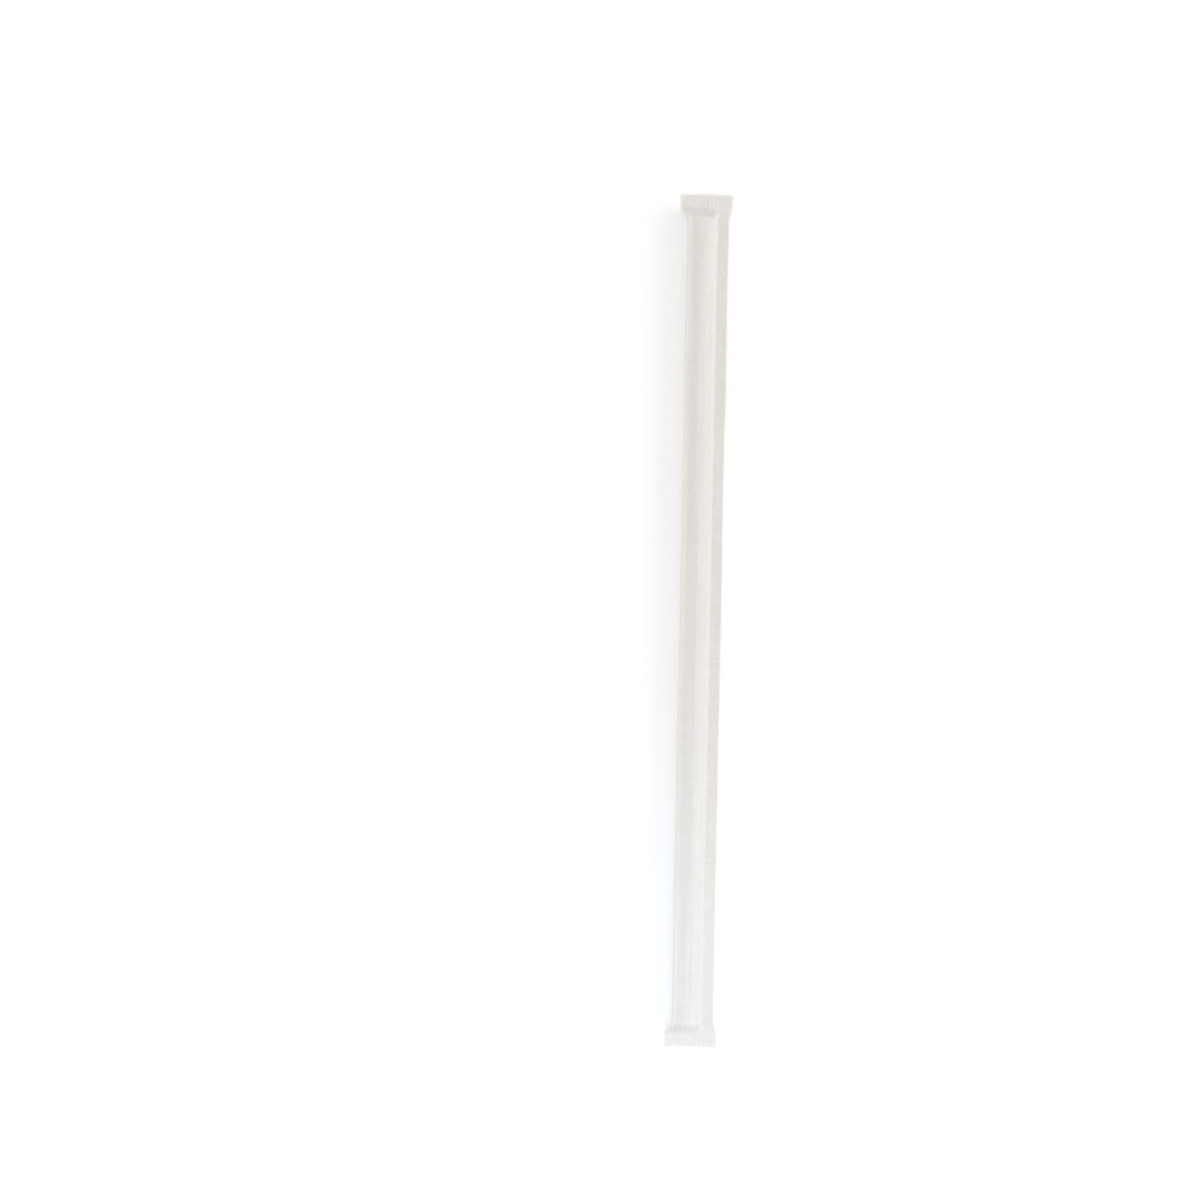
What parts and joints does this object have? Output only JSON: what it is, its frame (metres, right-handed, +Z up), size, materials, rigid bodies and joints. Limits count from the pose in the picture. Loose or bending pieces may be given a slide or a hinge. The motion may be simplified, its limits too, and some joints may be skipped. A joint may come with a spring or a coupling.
{
  "type": "wrapped drinking straw",
  "caption": "Straight drinking straw sealed in a thin white paper sleeve with a flat side fin and crimped ends, lying flat.",
  "frame": {"origin": "on the resting plane, under the middle of the wrapper's outline", "axes": "+Y along the straw, +Z up from the surface it lies on, +X towards the wrapper's side fin"},
  "size_m": [0.0128, 0.211, 0.0065],
  "materials": {
    "wrapper_paper": "thin uncoated white wrapping paper, matte, slightly see-through",
    "straw_plastic": "extruded white polypropylene, soft gloss"
  },
  "bodies": {
    "root": {"paper_wrapper": "wrapper_paper", "drinking_straw": "straw_plastic"}
  },
  "joints": []
}
